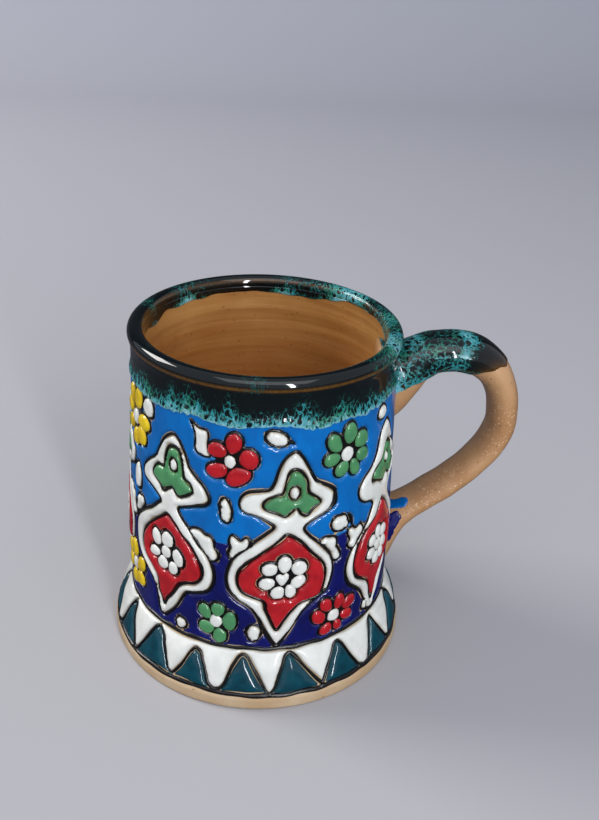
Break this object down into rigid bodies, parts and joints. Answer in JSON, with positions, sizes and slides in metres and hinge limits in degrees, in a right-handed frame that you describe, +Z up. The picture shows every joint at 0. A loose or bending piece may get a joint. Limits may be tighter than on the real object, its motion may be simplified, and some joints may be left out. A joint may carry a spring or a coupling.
{
  "type": "enamelled pottery mug",
  "caption": "Straight-sided pottery mug with a flared foot, rolled lip, pulled loop handle and raised enamel medallions and rosettes.",
  "frame": {"origin": "middle of the foot's underside, on the surface the mug stands on", "axes": "+Z up along the mug's axis, +X towards the handle"},
  "size_m": [0.1248, 0.0936, 0.105],
  "materials": {
    "glazed_clay": "glossy clear glaze over buff earthenware",
    "bare_clay": "matt unglazed earthenware",
    "inside_glaze": "clear glaze over speckled clay",
    "rim_glaze": "running black and turquoise glaze",
    "outline": "dark matt line work",
    "light_blue_enamel": "glossy raised enamel",
    "navy_enamel": "glossy raised enamel",
    "white_enamel": "glossy raised enamel",
    "red_enamel": "glossy raised enamel",
    "green_enamel": "glossy raised enamel",
    "yellow_enamel": "glossy raised enamel",
    "teal_enamel": "glossy raised enamel"
  },
  "bodies": {
    "root": {"mug": "glazed_clay"}
  },
  "joints": []
}
